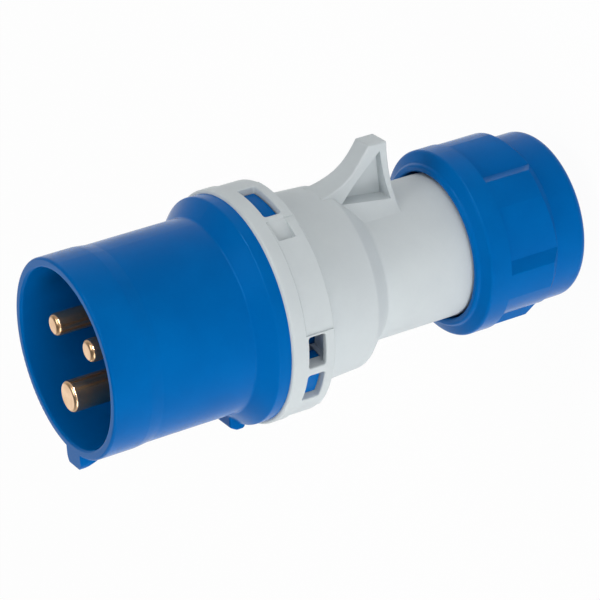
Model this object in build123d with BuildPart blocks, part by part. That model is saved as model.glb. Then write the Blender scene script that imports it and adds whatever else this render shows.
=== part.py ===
import os
from math import cos, degrees, hypot, radians, sin

from build123d import *

os.makedirs("parts", exist_ok=True)

# Industrial pin and sleeve plug, three poles, standing on its gland nut with the mouth upwards.
# The plug axis is Z and the level of the nut's end face is zero.
# The fin points along +X, the key and the earth pin lie on the -X side.

# How far a cut runs past the face it goes through
overcut = 0.4

# Lengths along the axis, from the gland end upwards
nut_length = 29.1
neck_length = 21.6
shoulder_length = 5.1
body_length = 13.9
ring_length = 10.7
flange_rim_length = 2.8
flange_cone_length = 3.7
sleeve_length = 33.7

# Sleeve, flange and carrier of the blue insert
sleeve_radius = 21.75
sleeve_wall = 2.2
bore_draft = 0.4
lip_step = 0.35
lip_length = 8.7
lip_run = 3.0
mouth_round = 0.6
floor_depth = 38.5
floor_thickness = 6.5
flange_step = 3.6
flange_round = 0.5
root_round = 0.6
skirt_wall = 2.1
carrier_wall = 1.9
carrier_reach = 5.7
undercut_height = 5.9
boss_wall = 1.4
boss_length = 17.0
post_radius = 3.2

# Key ridge on the lip and lug under the flange
key_width = 6.0
key_height = 3.8
key_run = 6.2
key_tail_height = 0.7
key_slope = 2.0
key_crown = 0.8
key_root = 0.8
key_nose = 0.7
lug_width = 7.0
lug_height = 2.2
lug_lift = 0.2
lug_length = 4.0
lug_nose = 2.3
lug_front = 1.2
lug_round = 0.8
lug_side_round = 0.5

# Contact pins: two equal line pins and a thicker earth pin on one circle
pin_circle_share = 0.4069
pin_radius = 2.5
earth_pin_radius = 3.5
pin_recess = 1.7
earth_recess = 0.0
pin_dome = 1.0
earth_dome = 0.8
barrel_radius = 4.4
wire_bore = 2.1
wire_depth = 9.4
terminal_rise = 4.0
pin_seat = 0.5
pin_seat_rise = 0.3
pin_fit = 0.05
barrel_fit = 0.1

# Terminal screws
screw_shank = 1.95
screw_fit = 0.05
screw_head = 3.0
screw_head_height = 2.1
screw_slot_width = 0.8
screw_slot_depth = 1.0
screw_access_gap = 0.5
screw_reach = 1.4

# Retainer plate behind the pins and its screw
retainer_gap = 3.2
retainer_thickness = 2.2
retainer_wire_hole = 2.7
retainer_screw_shank = 1.45
retainer_screw_head = 2.9
retainer_screw_head_height = 1.9
retainer_screw_length = 9.0
retainer_screw_room = 1.0
retainer_screw_fit = 0.06

# Ring seal on the carrier
seal_width = 2.2
seal_depth = 1.2
seal_offset = 1.3
seal_round = 0.5
seal_squeeze = 0.05

# Grey housing
ring_proud = 0.75
ring_wall = 3.1
ring_round = 0.7
ring_rear_round = 0.6
front_band_length = 3.4
band_step = 0.3
band_slope = 0.3
ring_web = 2.1
body_inset = 1.5
body_taper = 0.8
body_wall = 2.1
body_round = 1.5
neck_root_round = 1.5
neck_radius = 16.3
neck_wall = 2.4
spigot_step = 0.45
spigot_length = 12.5
neck_cover = 2.1
skirt_gap = 0.3
carrier_gap = 0.4

# Windows of the ring, as angles from the fin
window_low = 2.6
window_height = 4.1
window_corner = 0.6
window_round = 0.35
latch_window_start = -23.5
latch_window_end = 1.5
entry_window_start = -102.8
entry_window_end = -86.2
lock_window_start = -125.0
lock_window_end = -107.2
opposite_turn = 180.0
pad_margin = 3.2
pad_rim = 0.6
pad_end = 1.0
pad_tail = 11.0
ramp_lead = 2.0
ramp_end = -38.0
ramp_depth = 1.8
ramp_clear = 1.5
lock_rise = 1.9
lock_gap = 0.35
window_frame = 1.3
hollow_floor = 0.9

# Fin of the housing
fin_reach = 13.0
fin_half_width = 2.85
fin_waist_share = 0.435
fin_waist_half = 3.4
fin_ledge_rise = 0.6
fin_ledge_half = 5.6
fin_foot_sink = 0.1
fin_foot_angle = 37.2
fin_top_length = 4.6
fin_set_back = 15.0
fin_run = 17.6
fin_lead_share = 0.645
fin_lead_rise = 4.9
fin_web = 1.7
fin_rear_plate = 1.3
fin_pocket_rim = 1.9
fin_pocket_lift = 0.7
fin_pocket_dip = 0.77
fin_pocket_run = 13.3
fin_pocket_lean = 0.6
fin_root = 1.0
fin_round = 0.5

# Gland nut
nut_shoulder_width = 2.7
nut_tooth_inset = 0.25
nut_valley_inset = 2.0
nut_collar_inset = 2.15
nut_collar_length = 8.2
nut_band_length = 5.1
nut_tooth_slope = 2.2
nut_tooth_root = 0.6
nut_tooth_round = 0.5
nut_step_run = 7.0
nut_tooth_ramp = 42.0
nut_tooth_count = 6
nut_tooth_angle = -94.6
nut_lip_width = 1.7
nut_lip_length = 2.1
nut_bead_height = 0.85
nut_mouth_gap = 0.6
nut_mouth_depth = 4.5
nut_thread_gap = 0.6
nut_web = 4.8
cable_hole_step = 2.2
end_round = 2.0
hole_round = 0.8
nut_bead_round = 0.75
nut_groove_round = 0.5
nut_edge_round = 0.8
nut_mouth_round = 0.5
nut_thread_lead = 0.4

# Clamp cage, cable seal and thrust ring inside the nut
cage_wall = 2.4
cage_fit = 0.3
cage_flange = 1.2
cage_flange_inset = 0.25
cage_finger_wall = 2.0
cage_slot_width = 1.3
cage_slot_reach = 4.0
cage_slot_count = 10
cage_rim = 1.6
cage_rim_reach = 13.2
cage_rim_step = 1.6
cone_gap = 0.9
seal_fit = 0.2
cable_seal_wall = 5.5
cable_seal_lead = 1.5
cable_seal_setback = 3.9
thrust_thickness = 2.0
thrust_width = 3.7
thrust_fit = 0.3
thrust_bore_gap = 0.2
pocket_lead = 0.2
finger_gap = 0.3

# Levels along the axis
shoulder_low = nut_length + neck_length
body_low = shoulder_low + shoulder_length
ring_low = body_low + body_length
flange_low = ring_low + ring_length
cone_low = flange_low + flange_rim_length
sleeve_low = cone_low + flange_cone_length
mouth = sleeve_low + sleeve_length
floor_top = mouth - floor_depth
floor_low = floor_top - floor_thickness
boss_low = floor_low - boss_length
web_top = ring_low + ring_web
carrier_low = web_top - carrier_reach
screw_level = boss_low + terminal_rise
spigot_low = nut_length - spigot_length
neck_end = nut_length - neck_cover
cage_low = nut_web + thrust_thickness + finger_gap
cage_flange_low = spigot_low - cage_flange
nut_tooth_length = nut_length - nut_lip_length - nut_band_length - nut_collar_length
window_floor = ring_low + window_low
window_top = window_floor + window_height

# Radii that follow from the fits
mouth_bore = sleeve_radius + lip_step - sleeve_wall
floor_bore = mouth_bore - bore_draft
pin_circle = pin_circle_share * sleeve_radius
flange_radius = sleeve_radius + flange_step
ring_radius = flange_radius + ring_proud
ring_bore = ring_radius - ring_wall
body_top_radius = ring_bore - body_inset
body_low_radius = body_top_radius - body_taper
skirt_radius = ring_bore - skirt_gap
skirt_bore = skirt_radius - skirt_wall
body_bore = body_low_radius - body_wall
carrier_radius = body_bore - carrier_gap
rear_band_radius = ring_radius - band_step
neck_bore = neck_radius - neck_wall
spigot_radius = neck_radius - spigot_step
nut_mouth_bore = neck_radius + nut_mouth_gap
nut_thread_bore = spigot_radius + nut_thread_gap
nut_lip_radius = nut_mouth_bore + nut_lip_width
nut_radius = nut_lip_radius + nut_shoulder_width
nut_tooth_radius = nut_radius - nut_tooth_inset
nut_valley_radius = nut_radius - nut_valley_inset
nut_collar_radius = nut_radius - nut_collar_inset
cage_radius = neck_bore - cage_fit
cage_bore = cage_radius - cage_wall
cage_rim_bore = cage_bore - cage_rim_step
cable_hole = cage_bore - cable_hole_step
cage_flange_radius = spigot_radius - cage_flange_inset
cable_seal_radius = cage_bore - seal_fit
cable_bore = cable_seal_radius - cable_seal_wall
thrust_radius = cable_hole + thrust_width
nut_pocket = thrust_radius + thrust_fit
earth_barrel_radius = barrel_radius + earth_pin_radius - pin_radius
retainer_radius = body_bore - retainer_gap

# Angle and place of each contact around the axis
line_angle = 60.0
neutral_angle = -60.0
earth_angle = 180.0


def polar(radius, angle):
    """Point of the cross-section at this radius and this angle from the fin."""
    return (radius * cos(radians(angle)), radius * sin(radians(angle)))


def sector(inner, outer, start, end):
    """Flat piece of a ring between two radii and two angles."""
    with BuildSketch() as piece:
        with BuildLine():
            CenterArc((0, 0), outer, start, end - start)
            CenterArc((0, 0), inner, start, end - start)
            Line(polar(inner, start), polar(outer, start))
            Line(polar(inner, end), polar(outer, end))
        make_face()
    return piece.sketch


def rim(builder, radius, level):
    """Circular edges of this radius at this level."""
    found = builder.edges().filter_by(GeomType.CIRCLE)
    found = found.filter_by(lambda edge: abs(edge.radius - radius) < 0.01)
    return found.filter_by(lambda edge: abs(edge.center().Z - level) < 0.01)


def distance(edge):
    """Distance of an edge's middle from the plug axis."""
    return hypot(edge.center().X, edge.center().Y)


def contact(radius, recess, dome, barrel, angle):
    """Turned brass contact: domed pin, terminal barrel, wire bore and tapped cross hole."""
    place = polar(pin_circle, angle)
    tip = mouth - recess
    with BuildPart() as body:
        with BuildSketch(Plane.XY.offset(floor_low)):
            with Locations(place):
                Circle(radius)
        extrude(amount=tip - floor_low)
        fillet(rim(body, radius, tip), dome)
        with BuildSketch(Plane.XY.offset(floor_low)):
            with Locations(place):
                Circle(radius + pin_seat)
        extrude(amount=floor_thickness + pin_seat_rise)
        with BuildSketch(Plane.XY.offset(boss_low)):
            with Locations(place):
                Circle(barrel)
        extrude(amount=floor_low - boss_low)
        with BuildSketch(Plane.XY.offset(boss_low)):
            with Locations(place):
                Circle(wire_bore)
        extrude(amount=wire_depth, mode=Mode.SUBTRACT)
        across = Plane(origin=(place[0], place[1], screw_level), z_dir=(*polar(1, angle), 0))
        with BuildSketch(across):
            Circle(screw_shank + screw_fit)
        extrude(amount=barrel + overcut, mode=Mode.SUBTRACT)
    return body


def terminal_screw(barrel, angle):
    """Slotted terminal screw pointing at the pin's axis, its head against the barrel."""
    place = polar(pin_circle, angle)
    seat = barrel + screw_fit
    across = Plane(origin=(place[0], place[1], screw_level), z_dir=(*polar(1, angle), 0))
    with BuildPart() as body:
        with BuildSketch(across.offset(wire_bore - screw_reach)):
            Circle(screw_shank)
        extrude(amount=seat - wire_bore + screw_reach)
        with BuildSketch(across.offset(seat)):
            Circle(screw_head)
        extrude(amount=screw_head_height)
        with BuildSketch(across.offset(seat + screw_head_height)):
            Rectangle(2 * screw_head + overcut, screw_slot_width)
        extrude(amount=-screw_slot_depth, mode=Mode.SUBTRACT)
    return body


# Key ridge that falls from the mouth to a low tail along the lip, made as one with the insert below
key_face = sleeve_radius + lip_step + key_height
with BuildPart() as key:
    with BuildSketch(Plane.XZ):
        with BuildLine():
            Polyline(
                (-sleeve_radius + key_root, mouth),
                (-key_face + key_nose, mouth),
                (-key_face, mouth - key_nose),
                (-sleeve_radius - lip_step - key_tail_height, mouth - key_run),
                (-sleeve_radius - lip_step - key_tail_height, mouth - lip_length),
                (-sleeve_radius, mouth - lip_length - key_slope),
                (-sleeve_radius + key_root, mouth - lip_length - key_slope),
                close=True,
            )
        make_face()
    extrude(amount=key_width / 2, both=True)
    with BuildSketch(Plane.XY.offset(mouth)) as crown:
        with Locations(((key_root - sleeve_radius - key_face) / 2, 0)):
            Rectangle(key_face - sleeve_radius + key_root, key_width)
        fillet(crown.vertices().group_by(Axis.X)[0], (key_width - key_crown) / 2)
    extrude(amount=-lip_length - 2 * key_slope, mode=Mode.INTERSECT)

# Blue insert: sleeve, flange, floor and terminal bosses moulded in one
with BuildPart() as sleeve_insert:
    with BuildSketch(Plane.XZ):
        with BuildLine():
            Polyline(
                (0, floor_low),
                (0, floor_top),
                (floor_bore, floor_top),
                (mouth_bore, mouth),
                (sleeve_radius + lip_step, mouth),
                (sleeve_radius + lip_step, mouth - lip_length),
                (sleeve_radius, mouth - lip_length - lip_run),
                (sleeve_radius, sleeve_low),
                (flange_radius, cone_low),
                (flange_radius, flange_low),
                (skirt_radius, flange_low),
                (skirt_radius, web_top + skirt_gap),
                (skirt_bore, web_top + skirt_gap),
                (skirt_bore, web_top + skirt_gap + undercut_height),
                (carrier_radius, web_top + skirt_gap + undercut_height),
                (carrier_radius, carrier_low),
                (carrier_radius - carrier_wall, carrier_low),
                (carrier_radius - carrier_wall, floor_low),
                close=True,
            )
        make_face()
    revolve(axis=Axis.Z)
    fillet(rim(sleeve_insert, sleeve_radius + lip_step, mouth), mouth_round)
    fillet(rim(sleeve_insert, mouth_bore, mouth), mouth_round)
    fillet(rim(sleeve_insert, flange_radius, cone_low), flange_round)
    fillet(rim(sleeve_insert, sleeve_radius, sleeve_low), root_round)
    add(key.part)
    # Lug under the flange
    with BuildSketch(Plane.XZ):
        with BuildLine():
            Polyline(
                (-skirt_radius, flange_low + lug_lift),
                (-flange_radius - lug_height, flange_low + lug_lift),
                (-flange_radius - lug_height, flange_low + lug_nose),
                (-flange_radius - lug_front, flange_low + lug_length),
                (-skirt_radius, flange_low + lug_length),
                close=True,
            )
        make_face()
    extrude(amount=lug_width / 2, both=True)
    lug_edges = sleeve_insert.edges().filter_by(Axis.Y)
    lug_edges = lug_edges.filter_by(lambda edge: edge.center().X < -flange_radius - lug_front + 0.1)
    fillet(lug_edges, lug_round)
    lug_sides = sleeve_insert.edges().filter_by(
        lambda edge: edge.center().X < -flange_radius - 0.2 and edge.center().Z < sleeve_low
    )
    fillet(lug_sides.filter_by(lambda edge: abs(edge.center().Y) > 1), lug_side_round)
    # Terminal bosses and the post of the retainer screw
    with BuildSketch(Plane.XY.offset(boss_low)):
        Circle(post_radius)
        for boss_angle, boss_seat in (
            (line_angle, barrel_radius),
            (neutral_angle, barrel_radius),
            (earth_angle, earth_barrel_radius),
        ):
            with Locations(polar(pin_circle, boss_angle)):
                Circle(boss_seat + barrel_fit + boss_wall)
    extrude(amount=boss_length)
    # Locking lugs on the skirt, which show in the ring's windows
    with BuildSketch(Plane.XY.offset(window_floor + lock_gap)):
        for start, end in (
            (latch_window_start, latch_window_end),
            (lock_window_start, lock_window_end),
            (lock_window_start + opposite_turn, lock_window_end + opposite_turn),
        ):
            margin = degrees(lock_gap / ring_radius)
            add(sector(skirt_bore, skirt_radius + lock_rise, start + margin, end - margin))
    extrude(amount=window_height - 2 * lock_gap)
    # Gaps of the skirt behind the entry windows
    with BuildSketch(Plane.XY.offset(web_top)):
        for turn in (0, opposite_turn):
            first = entry_window_start + turn
            last = entry_window_end + turn
            add(sector(skirt_bore - overcut, ring_bore + overcut, first, last))
    extrude(amount=window_top - web_top, mode=Mode.SUBTRACT)
    # Pin holes, barrel seats and screw access
    for hole_angle, hole, seat in (
        (line_angle, pin_radius, barrel_radius),
        (neutral_angle, pin_radius, barrel_radius),
        (earth_angle, earth_pin_radius, earth_barrel_radius),
    ):
        with BuildSketch(Plane.XY.offset(floor_low)):
            with Locations(polar(pin_circle, hole_angle)):
                Circle(hole + pin_seat + pin_fit)
        extrude(amount=floor_thickness, mode=Mode.SUBTRACT)
        with BuildSketch(Plane.XY.offset(boss_low)):
            with Locations(polar(pin_circle, hole_angle)):
                Circle(seat + barrel_fit)
        extrude(amount=boss_length, mode=Mode.SUBTRACT)
        middle = polar(pin_circle, hole_angle)
        outward = Plane(origin=(middle[0], middle[1], screw_level), z_dir=(*polar(1, hole_angle), 0))
        with BuildSketch(outward):
            Circle(screw_head + screw_access_gap)
        extrude(amount=seat + barrel_fit + boss_wall + overcut, mode=Mode.SUBTRACT)
    with BuildSketch(Plane.XY.offset(boss_low)):
        Circle(retainer_screw_shank + retainer_screw_fit)
    extrude(amount=retainer_screw_length - retainer_thickness + retainer_screw_room, mode=Mode.SUBTRACT)
    # Groove of the ring seal
    with BuildSketch(Plane.XY.offset(carrier_low + seal_offset)):
        Circle(carrier_radius + overcut)
        Circle(carrier_radius - seal_depth, mode=Mode.SUBTRACT)
    extrude(amount=seal_width, mode=Mode.SUBTRACT)
sleeve_insert.part.label = "sleeve_insert"
export_step(sleeve_insert.part, "parts/sleeve_insert.step")

# Contact pins
line_pin = contact(pin_radius, pin_recess, pin_dome, barrel_radius, line_angle)
line_pin.part.label = "line_pin"
export_step(line_pin.part, "parts/line_pin.step")

neutral_pin = contact(pin_radius, pin_recess, pin_dome, barrel_radius, neutral_angle)
neutral_pin.part.label = "neutral_pin"
export_step(neutral_pin.part, "parts/neutral_pin.step")

earth_pin = contact(earth_pin_radius, earth_recess, earth_dome, earth_barrel_radius, earth_angle)
earth_pin.part.label = "earth_pin"
export_step(earth_pin.part, "parts/earth_pin.step")

# Terminal screws
line_screw = terminal_screw(barrel_radius, line_angle)
line_screw.part.label = "line_screw"
export_step(line_screw.part, "parts/line_screw.step")

neutral_screw = terminal_screw(barrel_radius, neutral_angle)
neutral_screw.part.label = "neutral_screw"
export_step(neutral_screw.part, "parts/neutral_screw.step")

earth_screw = terminal_screw(earth_barrel_radius, earth_angle)
earth_screw.part.label = "earth_screw"
export_step(earth_screw.part, "parts/earth_screw.step")

# Retainer plate that keeps the barrels in their bosses
with BuildPart() as pin_retainer:
    with BuildSketch(Plane.XY.offset(boss_low)):
        Circle(retainer_radius)
        Circle(retainer_screw_shank + retainer_screw_fit, mode=Mode.SUBTRACT)
        for wire_angle in (line_angle, neutral_angle, earth_angle):
            with Locations(polar(pin_circle, wire_angle)):
                Circle(retainer_wire_hole, mode=Mode.SUBTRACT)
    extrude(amount=-retainer_thickness)
pin_retainer.part.label = "pin_retainer"
export_step(pin_retainer.part, "parts/pin_retainer.step")

with BuildPart() as retainer_screw:
    retainer_low = boss_low - retainer_thickness
    with BuildSketch(Plane.XY.offset(retainer_low)):
        Circle(retainer_screw_shank)
    extrude(amount=retainer_screw_length)
    with BuildSketch(Plane.XY.offset(retainer_low - retainer_screw_head_height)):
        Circle(retainer_screw_head)
    extrude(amount=retainer_screw_head_height)
    with BuildSketch(Plane.XY.offset(retainer_low - retainer_screw_head_height)):
        Rectangle(2 * retainer_screw_head + overcut, screw_slot_width)
        Rectangle(screw_slot_width, 2 * retainer_screw_head + overcut)
    extrude(amount=screw_slot_depth, mode=Mode.SUBTRACT)
retainer_screw.part.label = "retainer_screw"
export_step(retainer_screw.part, "parts/retainer_screw.step")

# Rubber ring between the carrier and the housing bore
with BuildPart() as ring_seal:
    with BuildSketch(Plane.XY.offset(carrier_low + seal_offset)):
        Circle(body_bore - seal_squeeze)
        Circle(carrier_radius - seal_depth + seal_squeeze, mode=Mode.SUBTRACT)
    extrude(amount=seal_width)
    fillet(rim(ring_seal, body_bore - seal_squeeze, carrier_low + seal_offset), seal_round)
    fillet(rim(ring_seal, body_bore - seal_squeeze, carrier_low + seal_offset + seal_width), seal_round)
ring_seal.part.label = "ring_seal"
export_step(ring_seal.part, "parts/ring_seal.step")

# Fin that holds the lid of a socket, made as one with the housing below
fin_low = body_low - fin_set_back
fin_top_end = fin_low + fin_top_length
fin_end = fin_low + fin_run
fin_height = neck_radius + fin_reach
fin_ledge_height = neck_radius + fin_ledge_rise
fin_waist_height = fin_ledge_height + fin_waist_share * (fin_height - fin_ledge_height)
fin_foot_height, fin_foot_half = polar(neck_radius - fin_foot_sink, fin_foot_angle)
fin_lead_height = fin_height - fin_lead_share * (fin_height - body_low_radius)
fin_pocket_end = fin_low + fin_pocket_run
shoulder_slope = (body_low_radius - neck_radius) / shoulder_length
shoulder_at_pocket = neck_radius + shoulder_slope * (fin_pocket_end - shoulder_low)
with BuildPart() as fin:
    # Flared cross-section along the axis
    with BuildSketch(Plane.XY.offset(fin_low)):
        with BuildLine():
            for side in (1, -1):
                Spline(
                    (fin_height, side * fin_half_width),
                    (fin_waist_height, side * fin_waist_half),
                    (fin_ledge_height, side * fin_ledge_half),
                    (fin_foot_height, side * fin_foot_half),
                )
                Line((fin_foot_height, side * fin_foot_half), (0, side * fin_foot_half))
            Line((fin_height, fin_half_width), (fin_height, -fin_half_width))
            Line((0, fin_foot_half), (0, -fin_foot_half))
        make_face()
    extrude(amount=fin_run)
    # Side profile with its hollow leading edge
    with BuildSketch(Plane.XZ):
        with BuildLine():
            Spline(
                (fin_height, fin_top_end),
                (fin_lead_height, fin_top_end + fin_lead_rise),
                (body_low_radius, fin_end),
                tangents=((-1.0, 0.75), (-0.15, 1.0)),
            )
            Polyline(
                (body_low_radius, fin_end),
                (0, fin_end),
                (0, fin_low),
                (fin_height, fin_low),
                (fin_height, fin_top_end),
            )
        make_face()
    extrude(amount=fin_foot_half + overcut, both=True, mode=Mode.INTERSECT)
    fin_outline = fin.edges().filter_by(lambda edge: edge.center().X > neck_radius)
    fillet(fin_outline.filter_by(lambda edge: edge.center().Z < fin_end - 0.1), fin_round)
    # Triangular pockets on both sides, leaving the web, the front rib and the rear plate
    for side in (1, -1):
        with BuildSketch(Plane.XZ.offset(side * fin_web / 2)):
            with BuildLine():
                Polyline(
                    (fin_height - fin_pocket_rim, fin_low + fin_rear_plate + fin_pocket_lean),
                    (neck_radius + fin_pocket_lift, fin_low + fin_rear_plate),
                    (shoulder_at_pocket - fin_pocket_dip, fin_pocket_end),
                    close=True,
                )
            make_face()
        extrude(amount=side * fin_foot_half, mode=Mode.SUBTRACT)
    # The foot ends inside the wall of the neck, the shoulder and the body
    with BuildSketch(Plane.XZ):
        with BuildLine():
            Polyline(
                (0, fin_low - overcut),
                (neck_radius - fin_root, fin_low - overcut),
                (neck_radius - fin_root, shoulder_low),
                (body_low_radius - fin_root, body_low),
                (body_low_radius - fin_root, fin_end + overcut),
                (0, fin_end + overcut),
                close=True,
            )
        make_face()
    revolve(axis=Axis.Z, mode=Mode.SUBTRACT)

# Grey housing: window ring, body, fin, neck and threaded spigot moulded in one
with BuildPart() as rear_housing:
    with BuildSketch(Plane.XZ):
        with BuildLine():
            Polyline(
                (ring_bore, flange_low),
                (ring_radius, flange_low),
                (ring_radius, flange_low - front_band_length),
                (rear_band_radius, flange_low - front_band_length - band_slope),
                (rear_band_radius, ring_low),
                (body_top_radius, ring_low),
                (body_low_radius, body_low),
                (neck_radius, shoulder_low),
                (neck_radius, neck_end),
                (spigot_radius, neck_end - spigot_step),
                (spigot_radius, spigot_low),
                (neck_bore, spigot_low),
                (neck_bore, shoulder_low),
                (body_bore, body_low),
                (body_bore, web_top),
                (ring_bore, web_top),
                close=True,
            )
        make_face()
    revolve(axis=Axis.Z)
    fillet(rim(rear_housing, ring_radius, flange_low), ring_round)
    fillet(rim(rear_housing, rear_band_radius, ring_low), ring_rear_round)
    fillet(rim(rear_housing, body_low_radius, body_low), body_round)
    fillet(rim(rear_housing, neck_radius, shoulder_low), neck_root_round)
    # Raised pads around the windows
    pad_low = ring_low + pad_rim
    with BuildSketch(Plane.XY.offset(pad_low)):
        pad_inner = rear_band_radius - pad_rim
        add(sector(pad_inner, ring_radius, latch_window_start - pad_margin, latch_window_end + pad_margin))
        for turn in (0, opposite_turn):
            first = lock_window_start - pad_tail + turn
            last = entry_window_end + pad_end + turn
            add(sector(pad_inner, ring_radius, first, last))
    extrude(amount=flange_low - front_band_length - pad_low)
    # Windows through the ring wall
    with BuildSketch(Plane.XY.offset(window_floor)):
        inside = ring_bore - overcut
        outside = ring_radius + overcut
        add(sector(inside, outside, latch_window_start, latch_window_end))
        for turn in (0, opposite_turn):
            add(sector(inside, outside, entry_window_start + turn, entry_window_end + turn))
            add(sector(inside, outside, lock_window_start + turn, lock_window_end + turn))
    extrude(amount=window_height, mode=Mode.SUBTRACT)
    window_corners = rear_housing.edges().filter_by(
        lambda edge: abs(edge.length - ring_wall) < 0.01
        and window_floor - 0.1 < edge.center().Z < window_top + 0.1
    )
    fillet(window_corners, window_corner)
    window_edges = rear_housing.edges().filter_by(
        lambda edge: abs(distance(edge) - ring_radius) < 0.05
        and window_floor - 0.1 < edge.center().Z < window_top + 0.1
        and (edge.length < window_height or edge.geom_type == GeomType.CIRCLE)
    )
    fillet(window_edges, window_round)
    # Hollows behind the entry windows, which leave a thin frame there
    with BuildSketch(Plane.XY.offset(ring_low + hollow_floor)):
        for turn in (0, opposite_turn):
            first = entry_window_start + turn
            last = entry_window_end + turn
            add(sector(body_bore - overcut, ring_radius - window_frame, first, last))
    extrude(amount=window_top - ring_low - hollow_floor, mode=Mode.SUBTRACT)
    # Sloping pocket beside the latch window
    ramp_start = latch_window_start - ramp_lead
    with BuildSketch(Plane.XY.offset(window_floor)):
        with BuildLine():
            Polyline(
                polar(ring_radius, ramp_start),
                polar(ring_radius + ramp_clear, ramp_start),
                polar(ring_radius + ramp_clear, ramp_end),
                polar(ring_radius - ramp_depth, ramp_end),
                close=True,
            )
        make_face()
    extrude(amount=window_height, mode=Mode.SUBTRACT)
    add(fin.part)
rear_housing.part.label = "rear_housing"
export_step(rear_housing.part, "parts/rear_housing.step")

# Clamp cage: tube in the spigot, flange on its end and spring fingers below
finger_top = nut_thread_bore - cone_gap
cone_drop = cage_flange_low - cage_low
cone_slope = (nut_thread_bore - nut_pocket) / (cage_flange_low - nut_web - thrust_thickness - pocket_lead)
finger_tip = finger_top - cone_slope * cone_drop
with BuildPart() as clamp_cage:
    with BuildSketch(Plane.XZ):
        with BuildLine():
            Polyline(
                (cage_bore, spigot_low + cage_rim_reach - cage_rim),
                (cage_rim_bore, spigot_low + cage_rim_reach - cage_rim),
                (cage_rim_bore, spigot_low + cage_rim_reach),
                (cage_radius, spigot_low + cage_rim_reach),
                (cage_radius, spigot_low),
                (cage_flange_radius, spigot_low),
                (cage_flange_radius, cage_flange_low),
                (finger_top, cage_flange_low),
                (finger_tip, cage_low),
                (finger_tip - cage_finger_wall, cage_low),
                (finger_top - cage_finger_wall, cage_flange_low),
                (cage_bore, cage_flange_low),
                close=True,
            )
        make_face()
    revolve(axis=Axis.Z)
    with BuildSketch(Plane.XY.offset(cage_low - overcut)):
        with PolarLocations(cage_slot_reach + cage_flange_radius / 2, cage_slot_count):
            Rectangle(cage_flange_radius, cage_slot_width)
    extrude(amount=cage_flange_low - cage_low + overcut, mode=Mode.SUBTRACT)
clamp_cage.part.label = "clamp_cage"
export_step(clamp_cage.part, "parts/clamp_cage.step")

# Rubber cable seal inside the cage
with BuildPart() as cable_seal:
    seal_top = spigot_low + cage_rim_reach - cage_rim
    seal_low = cage_low + cable_seal_setback
    with BuildSketch(Plane.XZ):
        with BuildLine():
            Polyline(
                (cable_bore, seal_top),
                (cable_seal_radius, seal_top),
                (cable_seal_radius, seal_low),
                (cable_bore + cable_seal_lead, seal_low),
                (cable_bore, seal_low + cable_seal_lead),
                close=True,
            )
        make_face()
    revolve(axis=Axis.Z)
cable_seal.part.label = "cable_seal"
export_step(cable_seal.part, "parts/cable_seal.step")

# Thrust ring between the nut's web and the cage
with BuildPart() as thrust_ring:
    with BuildSketch(Plane.XY.offset(nut_web)):
        Circle(thrust_radius)
        Circle(cable_hole + thrust_bore_gap, mode=Mode.SUBTRACT)
    extrude(amount=thrust_thickness)
thrust_ring.part.label = "thrust_ring"
export_step(thrust_ring.part, "parts/thrust_ring.step")

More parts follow.
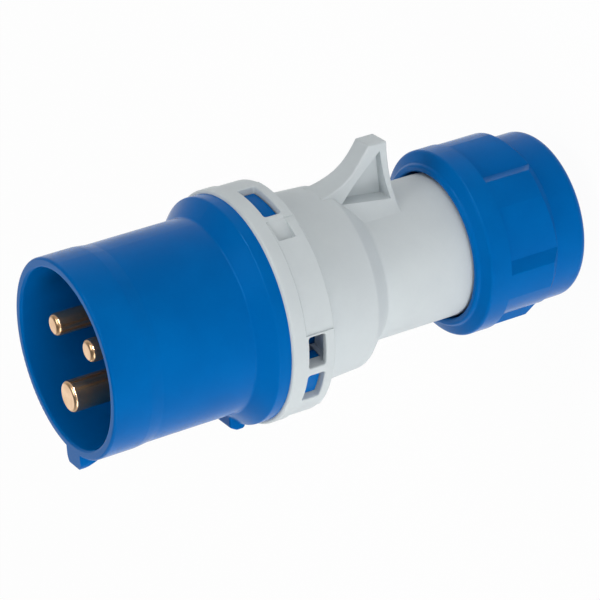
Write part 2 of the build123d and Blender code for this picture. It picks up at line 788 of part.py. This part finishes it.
# Blue gland nut with sawtooth grips
tooth_step = 360.0 / nut_tooth_count
tooth_angles = [nut_tooth_angle + tooth * tooth_step for tooth in range(nut_tooth_count)]
with BuildPart() as gland_nut:
    with BuildSketch(Plane.XZ):
        with BuildLine():
            Polyline(
                (cable_hole, 0),
                (nut_collar_radius, 0),
                (nut_collar_radius, nut_collar_length + nut_tooth_length),
                (nut_radius, nut_collar_length + nut_tooth_length),
                (nut_radius, nut_length - nut_lip_length),
                (nut_lip_radius, nut_length - nut_bead_height),
                (nut_lip_radius, nut_length),
                (nut_mouth_bore, nut_length),
                (nut_mouth_bore, nut_length - nut_mouth_depth),
                (nut_thread_bore, nut_length - nut_mouth_depth - nut_thread_lead),
                (nut_thread_bore, cage_flange_low),
                (nut_pocket, nut_web + thrust_thickness + pocket_lead),
                (nut_pocket, nut_web),
                (cable_hole, nut_web),
                close=True,
            )
        make_face()
    revolve(axis=Axis.Z)
    fillet(rim(gland_nut, nut_collar_radius, 0), end_round)
    fillet(rim(gland_nut, cable_hole, 0), hole_round)
    fillet(rim(gland_nut, nut_lip_radius, nut_length), nut_bead_round)
    fillet(rim(gland_nut, nut_lip_radius, nut_length - nut_bead_height), nut_groove_round)
    fillet(rim(gland_nut, nut_radius, nut_length - nut_lip_length), nut_edge_round)
    fillet(rim(gland_nut, nut_mouth_bore, nut_length), nut_mouth_round)
    with BuildSketch(Plane.XY.offset(nut_collar_length)):
        with BuildLine():
            for edge_angle in tooth_angles:
                valley = edge_angle + nut_step_run
                crest = edge_angle + nut_tooth_ramp
                halfway = polar(0.5 * (nut_valley_radius + nut_tooth_radius), 0.5 * (valley + crest))
                Line(polar(nut_tooth_radius, edge_angle), polar(nut_valley_radius, valley))
                ThreePointArc(polar(nut_valley_radius, valley), halfway, polar(nut_tooth_radius, crest))
                CenterArc((0, 0), nut_tooth_radius, crest, tooth_step - nut_tooth_ramp)
        make_face()
        Circle(nut_collar_radius - nut_tooth_root, mode=Mode.SUBTRACT)
    extrude(amount=nut_tooth_length)
    # Sloping lower ends of the teeth
    with BuildSketch(Plane.XZ):
        with BuildLine():
            Polyline(
                (nut_collar_radius, nut_collar_length),
                (nut_radius + overcut, nut_collar_length),
                (nut_radius + overcut, nut_collar_length + nut_tooth_slope),
                (nut_tooth_radius, nut_collar_length + nut_tooth_slope),
                close=True,
            )
        make_face()
    revolve(axis=Axis.Z, mode=Mode.SUBTRACT)
    tooth_edges = gland_nut.edges().filter_by(Axis.Z).filter_by(
        lambda edge: distance(edge) > nut_tooth_radius - 0.1 and edge.length < nut_tooth_length
    )
    steps = [polar(nut_tooth_radius, edge_angle) for edge_angle in tooth_angles]
    fillet(
        tooth_edges.filter_by(
            lambda edge: min(hypot(edge.center().X - x, edge.center().Y - y) for x, y in steps) < 0.5
        ),
        nut_tooth_round,
    )
gland_nut.part.label = "gland_nut"
export_step(gland_nut.part, "parts/gland_nut.step")
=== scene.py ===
import bpy
import numpy as np
from mathutils import Matrix, Vector


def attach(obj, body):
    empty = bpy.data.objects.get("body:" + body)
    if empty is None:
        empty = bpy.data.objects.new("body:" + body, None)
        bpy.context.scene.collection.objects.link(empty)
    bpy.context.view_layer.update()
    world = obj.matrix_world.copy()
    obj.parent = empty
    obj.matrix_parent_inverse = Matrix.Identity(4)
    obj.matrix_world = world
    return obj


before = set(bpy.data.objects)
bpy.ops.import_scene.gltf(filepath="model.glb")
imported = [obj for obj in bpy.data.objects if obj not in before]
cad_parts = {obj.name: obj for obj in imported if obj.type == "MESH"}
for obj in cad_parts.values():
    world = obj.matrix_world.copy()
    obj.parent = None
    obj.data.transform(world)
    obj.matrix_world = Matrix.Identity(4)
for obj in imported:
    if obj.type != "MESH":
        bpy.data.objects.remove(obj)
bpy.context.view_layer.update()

# Industrial pin and sleeve plug standing on its gland nut, mouth upwards, seen from above its open end.
# Lengths are in metres. The plug axis is Z, the fin points along +X and the earth pin lies on the -X side.

MM = 0.001

# Thread of the spigot and of the nut, as on the moulded parts
THREAD_PITCH = 3.0 * MM
THREAD_TURNS = 2.6
SPIGOT_RADIUS = 15.85 * MM
SPIGOT_CREST = 16.25 * MM
SPIGOT_THREAD_START = 17.4 * MM
NUT_BORE = 16.45 * MM
NUT_CREST = 16.1 * MM
NUT_THREAD_START = 15.9 * MM

# Section of a thread ridge from foot to foot: heights as shares of the crest, places as shares of the width
RIDGE_WIDTH = 1.3 * MM
RIDGE_HEIGHTS = np.array([-0.3, 0.0, 0.55, 0.92, 1.0, 1.0, 0.92, 0.55, 0.0, -0.3])
RIDGE_PLACES = np.array([-0.5, -0.5, -0.36, -0.24, -0.12, 0.12, 0.24, 0.36, 0.5, 0.5])

# Steps of a ridge in one turn, part of a turn over which its ends fade, and height that is left at the ends
RIDGE_STEPS = 72
RIDGE_FADE = 0.25
RIDGE_END = 0.02

# Way that the nut travels down when it is loosened, which the sheet below leaves free
NUT_TRAVEL = 6.0 * MM
SHEET_GAP = 0.05 * MM
SHEET_REACH = 6.0
SHEET_LINES = 9

# Places of the pins around the axis
PIN_CIRCLE = 8.85 * MM
PIN_ANGLES = {"line_pin": 60.0, "neutral_pin": -60.0, "earth_pin": 180.0}

# Point that the lamps face, half-way up the plug
PLUG_MIDDLE = Vector((0.0, 0.0, 60.0 * MM))

# The picture's own directions, rolled so that the plug's axis runs across it, and the place of the camera
VIEW_RIGHT = Vector((-0.054694, -0.520376, -0.852184))
VIEW_UP = Vector((0.902343, 0.339672, -0.26533))
VIEW_BACK = Vector((0.427534, -0.783474, 0.45098))
CAMERA_PLACE = Vector((0.299274, -0.548432, 0.376286))

# Share of the white sheet that is seen as plain white, the rest being its real shading with the shadow
SHEET_WHITE = 0.96


def linear(colour):
    """Linear colour with full alpha from an sRGB hex code."""
    channel = np.array([int(colour[place:place + 2], 16) for place in (1, 3, 5)]) / 255.0
    light = np.where(channel <= 0.04045, channel / 12.92, ((channel + 0.055) / 1.055) ** 2.4)
    return (*light.tolist(), 1.0)


def add(tree, kind, settings=None, links=None):
    """One shader node.

    Settings in small letters are its options and the others its sockets. Links feed sockets from other nodes.
    """
    node = tree.nodes.new("ShaderNode" + kind)
    for name, value in (settings or {}).items():
        if isinstance(name, str) and name[0].islower():
            setattr(node, name, value)
        else:
            node.inputs[name].default_value = value
    for name, (source, output) in (links or {}).items():
        tree.links.new(source.outputs[output], node.inputs[name])
    return node


def noise(tree, vector, size, detail, roughness=0.5):
    """Noise over a vector, with grains about this many millimetres wide."""
    settings = {"Scale": 1.0 / (size * MM), "Detail": detail, "Roughness": roughness}
    return add(tree, "TexNoise", settings, {"Vector": vector})


def stretch(tree, source, start, end, low=0.0, high=1.0):
    """Value of a node, taken from the range start to end onto the range low to high and held there."""
    return add(tree, "MapRange", {1: start, 2: end, 3: low, 4: high}, {0: (source, 0)})


def between(tree, share, colour, other):
    """Mix of two colours by the value of a node."""
    settings = {"data_type": "RGBA", 6: linear(colour), 7: linear(other)}
    return add(tree, "Mix", settings, {0: (share, 0)})


def skin_bump(tree, source, strength, depth):
    """Bump of this depth in millimetres from the value of a node."""
    return add(tree, "Bump", {"Strength": strength, "Distance": depth * MM}, {"Height": (source, 0)})


def new_material(name):
    """Empty node material of this name, with its tree."""
    material = bpy.data.materials.new(name)
    material.use_nodes = True
    material.node_tree.nodes.clear()
    return material, material.node_tree


def object_place(tree):
    """Vector of the surface point in the piece's own coordinates."""
    return add(tree, "TexCoord"), "Object"


def surface(tree, settings, links):
    """Main shader of a material, joined to its output."""
    shader = add(tree, "BsdfPrincipled", settings, links)
    add(tree, "OutputMaterial", {}, {"Surface": (shader, 0)})


def moulded_polyamide(name, colour, flow_colour, roughness, gloss, sheen):
    """Injection-moulded polyamide: a spark-eroded satin skin with faint flow clouds in its colour.

    The eye gets a soft sheen broken by a fine grain, thin light lines on the rounded edges, and a colour that
    is never quite even.
    """
    material, tree = new_material(name)
    place = object_place(tree)
    cloud = stretch(tree, noise(tree, place, size=18.0, detail=3.0, roughness=0.55), 0.35, 0.68)
    speck = stretch(tree, noise(tree, place, size=0.7, detail=2.0), 0.3, 0.7, 0.0, 0.18)
    share = add(tree, "Math", {"operation": "ADD", "use_clamp": True}, {0: (cloud, 0), 1: (speck, 0)})
    tint = between(tree, share, colour, flow_colour)
    handling = noise(tree, place, size=6.0, detail=4.0)
    rough = stretch(tree, handling, 0.3, 0.7, roughness - 0.05, roughness + 0.06)
    # The real grain is about 0.1 mm wide. It is drawn three times as coarse, so that it shows.
    grain = noise(tree, place, size=0.3, detail=2.5, roughness=0.6)
    skin = skin_bump(tree, grain, strength=0.22, depth=0.04)
    surface(
        tree,
        {"IOR": 1.53, "Specular IOR Level": gloss, "Specular Tint": linear(sheen)},
        {"Base Color": (tint, 2), "Roughness": (rough, 0), "Normal": (skin, 0)},
    )
    return material


def turned_brass(name, angle):
    """Turned brass: fine tool rings around the pin's own axis, with warmer and paler patches.

    The eye gets a streaked highlight along the shaft and faint circles on the tip. A thin film of tarnish
    takes a little of the metal's mirror away, more in some patches than in others.
    """
    material, tree = new_material(name)
    place = object_place(tree)
    turn = np.radians(angle)
    centre = (PIN_CIRCLE * np.cos(turn), PIN_CIRCLE * np.sin(turn), 0.0)
    own = add(tree, "Mapping", {"vector_type": "TEXTURE", "Location": centre}, {"Vector": place})
    apart = add(tree, "SeparateXYZ", {}, {0: (own, 0)})
    flat = add(tree, "CombineXYZ", {}, {0: (apart, 0), 1: (apart, 1)})
    radius = add(tree, "VectorMath", {"operation": "LENGTH"}, {0: (flat, 0)})
    along = add(tree, "CombineXYZ", {}, {0: (radius, "Value"), 2: (apart, 2)})
    patches = noise(tree, place, size=4.0, detail=3.0)
    tint = between(tree, stretch(tree, patches, 0.32, 0.68), "#E0BE9A", "#CFA880")
    rough = stretch(tree, patches, 0.3, 0.7, 0.19, 0.25)
    film = stretch(tree, patches, 0.3, 0.7, 0.93, 0.9)
    # Real tool rings are about 0.05 mm apart. They are drawn twice as coarse, so that they show.
    rings = noise(tree, (along, 0), size=0.11, detail=1.5)
    marks = skin_bump(tree, rings, strength=0.03, depth=0.003)
    surface(
        tree,
        {},
        {"Base Color": (tint, 2), "Metallic": (film, 0), "Roughness": (rough, 0), "Normal": (marks, 0)},
    )
    return material


def zinc_plated_steel():
    """Zinc-plated steel of the screws: the eye gets bluish bright metal with a cloudy roughness."""
    material, tree = new_material("zinc_plated_steel")
    clouds = noise(tree, object_place(tree), size=1.4, detail=4.0)
    tint = between(tree, clouds, "#C3C8CC", "#A9AFB4")
    rough = stretch(tree, clouds, 0.3, 0.7, 0.25, 0.42)
    surface(tree, {"Metallic": 1.0}, {"Base Color": (tint, 2), "Roughness": (rough, 0)})
    return material


def natural_nylon():
    """Unpigmented nylon of the cage and the washer: the eye gets a milky cream with a little depth."""
    material, tree = new_material("natural_nylon")
    place = object_place(tree)
    tint = between(tree, noise(tree, place, size=5.5, detail=3.0), "#E9E4D2", "#DDD6C0")
    grain = noise(tree, place, size=0.4, detail=2.0)
    skin = skin_bump(tree, grain, strength=0.15, depth=0.03)
    surface(
        tree,
        {"IOR": 1.53, "Roughness": 0.42, "Subsurface Weight": 0.15, "Subsurface Scale": 1.0 * MM},
        {"Base Color": (tint, 2), "Normal": (skin, 0)},
    )
    return material


def black_rubber():
    """Black moulded rubber of the seals: the eye gets a matt, dusty and finely pitted black."""
    material, tree = new_material("black_rubber")
    place = object_place(tree)
    tint = between(tree, noise(tree, place, size=2.4, detail=4.0), "#1B1C1E", "#2A2B2D")
    pits = noise(tree, place, size=0.36, detail=2.0)
    skin = skin_bump(tree, pits, strength=0.3, depth=0.04)
    surface(tree, {"IOR": 1.52, "Roughness": 0.62}, {"Base Color": (tint, 2), "Normal": (skin, 0)})
    return material


def seen_directly(tree):
    """One for rays from the camera, mirrors and clear pieces, nought for the light that falls on the plug."""
    ray = add(tree, "LightPath")
    larger = {"operation": "MAXIMUM"}
    mirror = add(tree, "Math", larger, {0: (ray, "Is Camera Ray"), 1: (ray, "Is Glossy Ray")})
    return add(tree, "Math", larger, {0: (mirror, 0), 1: (ray, "Is Transmission Ray")})


def white_sheet():
    """White paper sheet under the plug: seen as white, with a faint share of its real shading."""
    material, tree = new_material("white_sheet")
    paper = add(tree, "BsdfDiffuse", {"Color": linear("#F7F7F7")})
    glow = add(tree, "Emission", {"Strength": 1.0})
    share = add(tree, "Math", {"operation": "MULTIPLY", 1: SHEET_WHITE}, {0: (seen_directly(tree), 0)})
    both = add(tree, "MixShader", {}, {0: (share, 0), 1: (paper, 0), 2: (glow, 0)})
    add(tree, "OutputMaterial", {}, {"Surface": (both, 0)})
    return material


def grid_mesh(name, points, ring):
    """Mesh of a grid of points, rows along and columns across. A ring is joined round across and capped."""
    rows, columns = points.shape[:2]
    index = np.arange(rows * columns).reshape(rows, columns)
    start = index if ring else index[:, :-1]
    across = np.roll(index, -1, axis=1) if ring else index[:, 1:]
    faces = np.stack([start[:-1], across[:-1], across[1:], start[1:]], axis=-1).reshape(-1, 4).tolist()
    if ring:
        faces.append(index[0][::-1].tolist())
        faces.append(index[-1].tolist())
    mesh = bpy.data.meshes.new(name)
    mesh.from_pydata(points.reshape(-1, 3).tolist(), [], faces)
    mesh.validate()
    mesh.shade_smooth()
    piece = bpy.data.objects.new(name, mesh)
    bpy.context.collection.objects.link(piece)
    return piece


def thread_ridge(name, root, crest, start):
    """Helical thread ridge.

    A rounded trapezium, wide at the root radius and narrow at the crest radius, is carried along a right-hand
    helix that rises by one pitch per turn. Its height grows from nothing and fades out over a quarter turn.
    """
    rows = int(THREAD_TURNS * RIDGE_STEPS) + 1
    turn = np.linspace(0.0, THREAD_TURNS, rows)[:, None]
    fade = np.clip(np.minimum(turn, THREAD_TURNS - turn) / RIDGE_FADE, 0.0, 1.0)
    fade = fade * fade * (3.0 - 2.0 * fade)
    height = crest - root
    share = np.where(RIDGE_HEIGHTS > 0.0, RIDGE_HEIGHTS * np.maximum(fade, RIDGE_END), RIDGE_HEIGHTS)
    radius = root + height * share
    level = start + THREAD_PITCH * turn + RIDGE_WIDTH * RIDGE_PLACES * np.sign(height)
    angle = 2.0 * np.pi * turn
    points = np.stack([radius * np.cos(angle), radius * np.sin(angle), level], axis=-1)
    return grid_mesh(name, points, True)


def floor_sheet():
    """White sheet just under the lowest place of the nut's end: a flat grid in X and Y at one level."""
    line = np.linspace(-SHEET_REACH, SHEET_REACH, SHEET_LINES)
    across, along = np.meshgrid(line, line)
    points = np.stack([across, along, np.full_like(across, -NUT_TRAVEL - SHEET_GAP)], axis=-1)
    return grid_mesh("floor_sheet", points, False)


def placed(side, rise, aim, place):
    """Matrix of an object that has these directions for its own X, Y and Z and stands at this place."""
    return Matrix((
        (side.x, rise.x, aim.x, place.x),
        (side.y, rise.y, aim.y, place.y),
        (side.z, rise.z, aim.z, place.z),
        (0.0, 0.0, 0.0, 1.0),
    ))


def softbox(name, direction, distance, size, level, shades):
    """Soft lamp facing the plug's middle, placed and turned by the picture's own directions.

    The direction counts across, upwards and towards the camera. The level is the share of a white card's
    brightness that the lamp gives from straight ahead. A lamp that shades nothing is only mirrored, as a thin
    bright line on rounded edges.
    """
    lamp = bpy.data.lights.new(name, "AREA")
    lamp.shape = "RECTANGLE"
    lamp.size, lamp.size_y = size
    lamp.energy = level * np.pi ** 2 * distance ** 2
    across, upwards, towards = direction
    aim = (across * VIEW_RIGHT + upwards * VIEW_UP + towards * VIEW_BACK).normalized()
    side = VIEW_UP.cross(aim).normalized()
    lamp_object = bpy.data.objects.new(name, lamp)
    lamp_object.matrix_world = placed(side, aim.cross(side), aim, PLUG_MIDDLE + distance * aim)
    lamp_object.visible_diffuse = shades
    bpy.context.collection.objects.link(lamp_object)


blue = moulded_polyamide("moulded_blue_polyamide", "#0065B0", "#005EA7", 0.21, 0.06, "#50A0E6")
grey = moulded_polyamide("moulded_grey_polyamide", "#C9D0D2", "#C3CACD", 0.5, 0.16, "#FFFFFF")
steel = zinc_plated_steel()
nylon = natural_nylon()
rubber = black_rubber()

finishes = {
    "sleeve_insert": blue,
    "gland_nut": blue,
    "pin_retainer": blue,
    "rear_housing": grey,
    "line_screw": steel,
    "neutral_screw": steel,
    "earth_screw": steel,
    "retainer_screw": steel,
    "clamp_cage": nylon,
    "thrust_ring": nylon,
    "ring_seal": rubber,
    "cable_seal": rubber,
}
for pin, pin_angle in PIN_ANGLES.items():
    finishes[pin] = turned_brass("turned_brass_" + pin, pin_angle)
for node_name, finish in finishes.items():
    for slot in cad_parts[node_name].material_slots:
        slot.material = finish

spigot_thread = thread_ridge("spigot_thread", SPIGOT_RADIUS, SPIGOT_CREST, SPIGOT_THREAD_START)
spigot_thread.data.materials.append(grey)
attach(spigot_thread, "plug")

nut_thread = thread_ridge("nut_thread", NUT_BORE, NUT_CREST, NUT_THREAD_START)
nut_thread.data.materials.append(blue)
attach(nut_thread, "nut")

floor = floor_sheet()
floor.data.materials.append(white_sheet())

# Camera at the picture's viewing angle
camera = bpy.data.cameras.new("camera")
camera.sensor_width = 36.0
camera.lens = 193.5
camera.shift_x = -0.0152
camera.shift_y = -0.027617
camera.clip_start = 0.01
camera.clip_end = 50.0
camera_object = bpy.data.objects.new("camera", camera)
camera_object.matrix_world = placed(VIEW_RIGHT, VIEW_UP, VIEW_BACK, CAMERA_PLACE)
bpy.context.collection.objects.link(camera_object)
bpy.context.scene.camera = camera_object

# Thin line on the rounded edges, brightness for the pins' tips, and three broad lamps for the shading
softbox("strip_softbox", (-0.04, 0.6, 0.8), 0.8, (0.05, 1.1), 2.5, False)
softbox("mouth_softbox", (-0.77, -0.24, -0.59), 0.8, (0.4, 0.4), 0.05, True)
softbox("left_softbox", (-0.75, 0.1, 0.65), 0.8, (0.4, 0.5), 0.34, True)
softbox("low_softbox", (0.22, -0.87, 0.45), 0.8, (0.6, 0.6), 0.52, True)
softbox("front_softbox", (0.6, -0.15, 0.78), 0.9, (0.6, 0.6), 0.245, True)

# Room light: bright walls all round and a dim ceiling, so that the inside of the sleeve stays dark
world = bpy.data.worlds.new("white_room")
world.use_nodes = True
bpy.context.scene.world = world
room = world.node_tree
room.nodes.clear()
direction = add(room, "TexCoord")
upright = add(room, "SeparateXYZ", {}, {0: (direction, "Generated")})
ceiling = add(room, "MapRange", {1: 0.1, 2: 0.9, 3: 0.88, 4: 0.12}, {0: (upright, 2)})
walls = add(room, "Background", {"Color": linear("#FFFFFF")}, {"Strength": (ceiling, 0)})
add(room, "OutputWorld", {}, {"Surface": (walls, 0)})

bpy.context.scene.view_settings.view_transform = "Standard"
